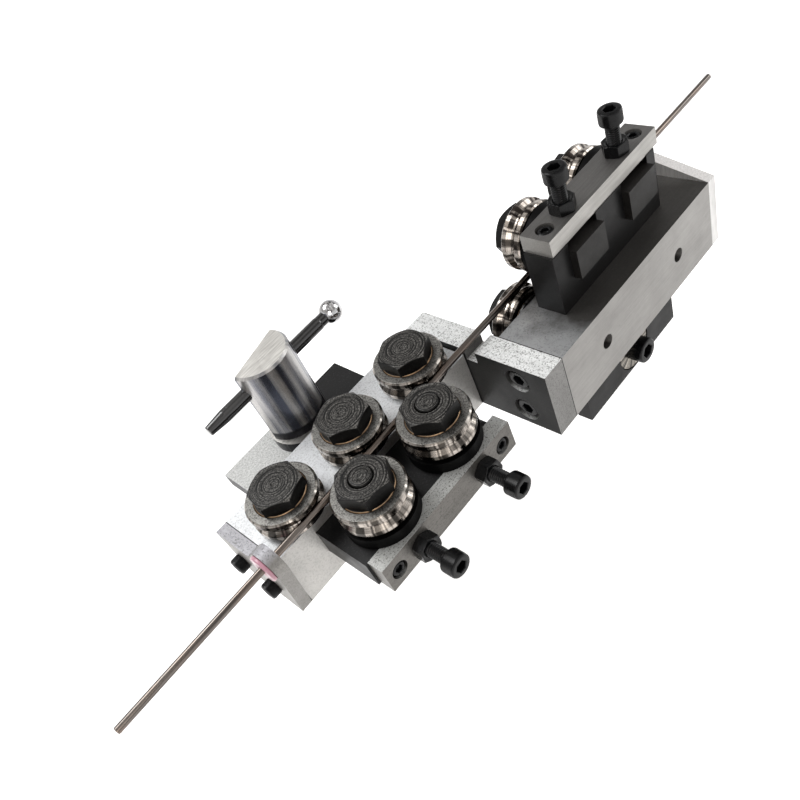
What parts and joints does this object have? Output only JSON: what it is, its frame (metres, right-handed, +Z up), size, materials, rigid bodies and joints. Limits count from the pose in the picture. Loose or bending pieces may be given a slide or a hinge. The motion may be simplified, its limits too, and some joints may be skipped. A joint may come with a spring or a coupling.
{
  "type": "wire straightener",
  "caption": "Two-plane roller straightener for wire: grooved rollers on bolts and carriers, cam-lever slides, adjusting screws and ceramic wire guides.",
  "frame": {"origin": "midway between the two tapped base holes of station A, on its underside", "axes": "+X along the wire in the feed direction, +Z up from the base of station A, +Y from the wire towards station A's cam lever"},
  "size_m": [0.512, 0.162, 0.162],
  "materials": {
    "block_aluminium": "bead-blasted top, ground sides",
    "plate_aluminium": "milled, rubbed edges",
    "roller_steel": "ground and polished",
    "bearing_steel": "ground, slightly tarnished",
    "cam_steel": "turned, drawn lengthwise",
    "black_steel": "black oxide, oiled",
    "slide_steel": "black oxide, speckled",
    "lever_steel": "black oxide, polished",
    "ball_chrome": "polished",
    "guide_ceramic": "glazed ceramic",
    "wire_steel": "drawn"
  },
  "bodies": {
    "frame": {"block_a": "block_aluminium", "block_b": "block_aluminium", "entry_plate": "plate_aluminium", "exit_plate": "plate_aluminium", "cross_plate": "plate_aluminium", "cross_plate_screws": "black_steel", "end_plate_screws": "black_steel", "wire_guides": "guide_ceramic", "axle_bolts": "black_steel", "axle_collars": "black_steel", "axle_bearings": "bearing_steel"},
    "wire": {"wire": "wire_steel"},
    "slide_a": {"slide_a": "slide_steel", "adjusting_bar_a": "plate_aluminium", "bar_screws_a": "black_steel", "lock_nuts_a": "black_steel"},
    "cam_a": {"cam_hub_a": "cam_steel", "lever_bar_a": "lever_steel", "ball_knob_a": "ball_chrome", "cam_washer_a": "bearing_steel", "cam_screw_a": "black_steel"},
    "roller_a1": {"roller_a1": "roller_steel"},
    "roller_a2": {"roller_a2": "roller_steel"},
    "roller_a3": {"roller_a3": "roller_steel"},
    "carrier_a1": {"carrier_a1": "slide_steel", "stud_a1": "black_steel", "nut_a1": "black_steel", "bearing_a1": "bearing_steel"},
    "adjusting_screw_a1": {"adjusting_screw_a1": "black_steel"},
    "roller_a4": {"roller_a4": "roller_steel"},
    "carrier_a2": {"carrier_a2": "slide_steel", "stud_a2": "black_steel", "nut_a2": "black_steel", "bearing_a2": "bearing_steel"},
    "adjusting_screw_a2": {"adjusting_screw_a2": "black_steel"},
    "roller_a5": {"roller_a5": "roller_steel"},
    "slide_b": {"slide_b": "slide_steel", "adjusting_bar_b": "plate_aluminium", "bar_screws_b": "black_steel", "lock_nuts_b": "black_steel"},
    "cam_b": {"cam_hub_b": "cam_steel", "lever_bar_b": "lever_steel", "ball_knob_b": "ball_chrome", "cam_washer_b": "bearing_steel", "cam_screw_b": "black_steel"},
    "roller_b1": {"roller_b1": "roller_steel"},
    "roller_b2": {"roller_b2": "roller_steel"},
    "roller_b3": {"roller_b3": "roller_steel"},
    "carrier_b1": {"carrier_b1": "slide_steel", "stud_b1": "black_steel", "nut_b1": "black_steel", "bearing_b1": "bearing_steel"},
    "adjusting_screw_b1": {"adjusting_screw_b1": "black_steel"},
    "roller_b4": {"roller_b4": "roller_steel"},
    "carrier_b2": {"carrier_b2": "slide_steel", "stud_b2": "black_steel", "nut_b2": "black_steel", "bearing_b2": "bearing_steel"},
    "adjusting_screw_b2": {"adjusting_screw_b2": "black_steel"},
    "roller_b5": {"roller_b5": "roller_steel"}
  },
  "joints": [
    {"name": "wire_feed", "type": "slide", "parent": "frame", "child": "wire", "axis": [1, 0, 0], "range_m": [-0.08, 0.08]},
    {"name": "slide_a_opening", "type": "slide", "parent": "frame", "child": "slide_a", "axis": [0, -1, 0], "range_m": [0, 0.015]},
    {"name": "cam_a_turn", "type": "hinge", "parent": "slide_a", "child": "cam_a", "pos_m": [0, 0.0505, 0.0505], "axis": [0, 0, 1], "range_deg": [0, 180]},
    {"name": "roller_a1_spin", "type": "hinge", "parent": "frame", "child": "roller_a1", "pos_m": [-0.05, -0.0079, 0.0505], "axis": [0, 0, 1], "continuous": true},
    {"name": "roller_a2_spin", "type": "hinge", "parent": "frame", "child": "roller_a2", "pos_m": [0, -0.0079, 0.0505], "axis": [0, 0, 1], "continuous": true},
    {"name": "roller_a3_spin", "type": "hinge", "parent": "frame", "child": "roller_a3", "pos_m": [0.05, -0.0079, 0.0505], "axis": [0, 0, 1], "continuous": true},
    {"name": "carrier_a1_travel", "type": "slide", "parent": "slide_a", "child": "carrier_a1", "axis": [0, -1, 0], "range_m": [0, 0.004]},
    {"name": "adjusting_screw_a1_turn", "type": "hinge", "parent": "carrier_a1", "child": "adjusting_screw_a1", "pos_m": [-0.025, -0.068, 0.0251], "axis": [0, -1, 0], "range_deg": [0, 1152]},
    {"name": "roller_a4_spin", "type": "hinge", "parent": "carrier_a1", "child": "roller_a4", "pos_m": [-0.025, -0.0481, 0.0505], "axis": [0, 0, 1], "continuous": true},
    {"name": "carrier_a2_travel", "type": "slide", "parent": "slide_a", "child": "carrier_a2", "axis": [0, -1, 0], "range_m": [0, 0.004]},
    {"name": "adjusting_screw_a2_turn", "type": "hinge", "parent": "carrier_a2", "child": "adjusting_screw_a2", "pos_m": [0.025, -0.068, 0.0251], "axis": [0, -1, 0], "range_deg": [0, 1152]},
    {"name": "roller_a5_spin", "type": "hinge", "parent": "carrier_a2", "child": "roller_a5", "pos_m": [0.025, -0.0481, 0.0505], "axis": [0, 0, 1], "continuous": true},
    {"name": "slide_b_opening", "type": "slide", "parent": "frame", "child": "slide_b", "axis": [0, 0, 1], "range_m": [0, 0.015]},
    {"name": "cam_b_turn", "type": "hinge", "parent": "slide_b", "child": "cam_b", "pos_m": [0.1695, -0.028, -0.028], "axis": [0, 1, 0], "range_deg": [0, 180]},
    {"name": "roller_b1_spin", "type": "hinge", "parent": "frame", "child": "roller_b1", "pos_m": [0.1195, -0.028, 0.0304], "axis": [0, 1, 0], "continuous": true},
    {"name": "roller_b2_spin", "type": "hinge", "parent": "frame", "child": "roller_b2", "pos_m": [0.1695, -0.028, 0.0304], "axis": [0, 1, 0], "continuous": true},
    {"name": "roller_b3_spin", "type": "hinge", "parent": "frame", "child": "roller_b3", "pos_m": [0.2195, -0.028, 0.0304], "axis": [0, 1, 0], "continuous": true},
    {"name": "carrier_b1_travel", "type": "slide", "parent": "slide_b", "child": "carrier_b1", "axis": [0, 0, 1], "range_m": [0, 0.004]},
    {"name": "adjusting_screw_b1_turn", "type": "hinge", "parent": "carrier_b1", "child": "adjusting_screw_b1", "pos_m": [0.1445, -0.0534, 0.0905], "axis": [0, 0, 1], "range_deg": [0, 1152]},
    {"name": "roller_b4_spin", "type": "hinge", "parent": "carrier_b1", "child": "roller_b4", "pos_m": [0.1445, -0.028, 0.0706], "axis": [0, 1, 0], "continuous": true},
    {"name": "carrier_b2_travel", "type": "slide", "parent": "slide_b", "child": "carrier_b2", "axis": [0, 0, 1], "range_m": [0, 0.004]},
    {"name": "adjusting_screw_b2_turn", "type": "hinge", "parent": "carrier_b2", "child": "adjusting_screw_b2", "pos_m": [0.1945, -0.0534, 0.0905], "axis": [0, 0, 1], "range_deg": [0, 1152]},
    {"name": "roller_b5_spin", "type": "hinge", "parent": "carrier_b2", "child": "roller_b5", "pos_m": [0.1945, -0.028, 0.0706], "axis": [0, 1, 0], "continuous": true}
  ],
  "couplings": [
    {"joint": "cam_a_turn", "follows": "slide_a_opening", "rad_per_m": 209.44},
    {"joint": "adjusting_screw_a1_turn", "follows": "carrier_a1_travel", "rad_per_m": 5026.5},
    {"joint": "adjusting_screw_a2_turn", "follows": "carrier_a2_travel", "rad_per_m": 5026.5},
    {"joint": "cam_b_turn", "follows": "slide_b_opening", "rad_per_m": 209.44},
    {"joint": "adjusting_screw_b1_turn", "follows": "carrier_b1_travel", "rad_per_m": 5026.5},
    {"joint": "adjusting_screw_b2_turn", "follows": "carrier_b2_travel", "rad_per_m": 5026.5},
    {"joint": "roller_a1_spin", "follows": "wire_feed", "rad_per_m": 55.556},
    {"joint": "roller_a2_spin", "follows": "wire_feed", "rad_per_m": 55.556},
    {"joint": "roller_a3_spin", "follows": "wire_feed", "rad_per_m": 55.556},
    {"joint": "roller_a4_spin", "follows": "wire_feed", "rad_per_m": -55.556},
    {"joint": "roller_a5_spin", "follows": "wire_feed", "rad_per_m": -55.556},
    {"joint": "roller_b1_spin", "follows": "wire_feed", "rad_per_m": 55.556},
    {"joint": "roller_b2_spin", "follows": "wire_feed", "rad_per_m": 55.556},
    {"joint": "roller_b3_spin", "follows": "wire_feed", "rad_per_m": 55.556},
    {"joint": "roller_b4_spin", "follows": "wire_feed", "rad_per_m": -55.556},
    {"joint": "roller_b5_spin", "follows": "wire_feed", "rad_per_m": -55.556}
  ]
}
